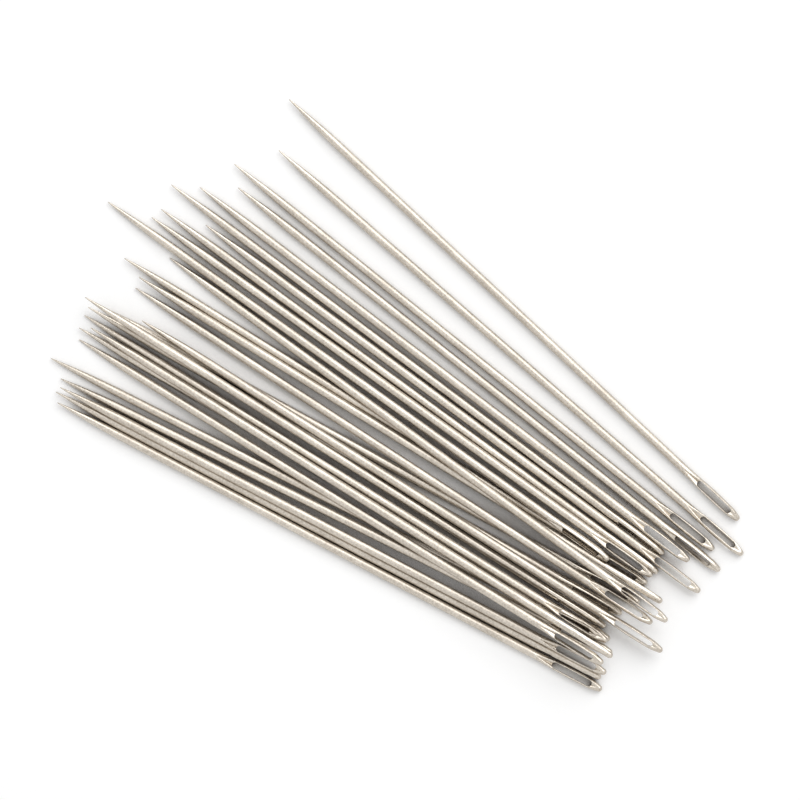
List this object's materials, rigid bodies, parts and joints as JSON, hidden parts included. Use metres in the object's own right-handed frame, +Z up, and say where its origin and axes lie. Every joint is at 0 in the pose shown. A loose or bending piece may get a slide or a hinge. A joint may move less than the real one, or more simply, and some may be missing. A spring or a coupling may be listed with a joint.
{
  "type": "yarn needle set",
  "caption": "Fanned set of long blunt-eyed yarn needles, laid loose on a table with points together and eyes together.",
  "frame": {"origin": "on the table, under the middle of the fanned set", "axes": "+X along the fan from the points to the eyes, +Y across it, +Z up from the table"},
  "size_m": [0.147, 0.0774, 0.0075],
  "materials": {
    "needle_steel": "nickel plated, drawn along the shaft, with a bright pressed eye"
  },
  "bodies": {
    "lower_needles": {"needle_06": "needle_steel", "needle_08": "needle_steel", "needle_12": "needle_steel", "needle_13": "needle_steel", "needle_16": "needle_steel", "needle_18": "needle_steel", "needle_19": "needle_steel", "needle_21": "needle_steel", "needle_23": "needle_steel", "needle_24": "needle_steel", "needle_25": "needle_steel", "needle_26": "needle_steel"},
    "needle_01": {"needle_01": "needle_steel"},
    "needle_02": {"needle_02": "needle_steel"},
    "needle_03": {"needle_03": "needle_steel"},
    "needle_04": {"needle_04": "needle_steel"},
    "needle_05": {"needle_05": "needle_steel"},
    "needle_07": {"needle_07": "needle_steel"},
    "needle_09": {"needle_09": "needle_steel"},
    "needle_10": {"needle_10": "needle_steel"},
    "needle_11": {"needle_11": "needle_steel"},
    "needle_14": {"needle_14": "needle_steel"},
    "needle_15": {"needle_15": "needle_steel"},
    "needle_17": {"needle_17": "needle_steel"},
    "needle_20": {"needle_20": "needle_steel"},
    "needle_22": {"needle_22": "needle_steel"},
    "needle_27": {"needle_27": "needle_steel"}
  },
  "joints": [
    {"name": "needle_01_lift", "type": "slide", "parent": "lower_needles", "child": "needle_01", "axis": [0, 0, 1], "range_m": [0, 0.02]},
    {"name": "needle_02_lift", "type": "slide", "parent": "lower_needles", "child": "needle_02", "axis": [0, 0, 1], "range_m": [0, 0.02]},
    {"name": "needle_03_lift", "type": "slide", "parent": "lower_needles", "child": "needle_03", "axis": [0, 0, 1], "range_m": [0, 0.02]},
    {"name": "needle_04_lift", "type": "slide", "parent": "lower_needles", "child": "needle_04", "axis": [0, 0, 1], "range_m": [0, 0.02]},
    {"name": "needle_05_lift", "type": "slide", "parent": "lower_needles", "child": "needle_05", "axis": [0, 0, 1], "range_m": [0, 0.02]},
    {"name": "needle_07_lift", "type": "slide", "parent": "lower_needles", "child": "needle_07", "axis": [0, 0, 1], "range_m": [0, 0.02]},
    {"name": "needle_09_lift", "type": "slide", "parent": "lower_needles", "child": "needle_09", "axis": [0, 0, 1], "range_m": [0, 0.02]},
    {"name": "needle_10_lift", "type": "slide", "parent": "lower_needles", "child": "needle_10", "axis": [0, 0, 1], "range_m": [0, 0.02]},
    {"name": "needle_11_lift", "type": "slide", "parent": "lower_needles", "child": "needle_11", "axis": [0, 0, 1], "range_m": [0, 0.02]},
    {"name": "needle_14_lift", "type": "slide", "parent": "lower_needles", "child": "needle_14", "axis": [0, 0, 1], "range_m": [0, 0.02]},
    {"name": "needle_15_lift", "type": "slide", "parent": "lower_needles", "child": "needle_15", "axis": [0, 0, 1], "range_m": [0, 0.02]},
    {"name": "needle_17_lift", "type": "slide", "parent": "lower_needles", "child": "needle_17", "axis": [0, 0, 1], "range_m": [0, 0.02]},
    {"name": "needle_20_lift", "type": "slide", "parent": "lower_needles", "child": "needle_20", "axis": [0, 0, 1], "range_m": [0, 0.02]},
    {"name": "needle_22_lift", "type": "slide", "parent": "lower_needles", "child": "needle_22", "axis": [0, 0, 1], "range_m": [0, 0.02]},
    {"name": "needle_27_lift", "type": "slide", "parent": "lower_needles", "child": "needle_27", "axis": [0, 0, 1], "range_m": [0, 0.02]}
  ]
}
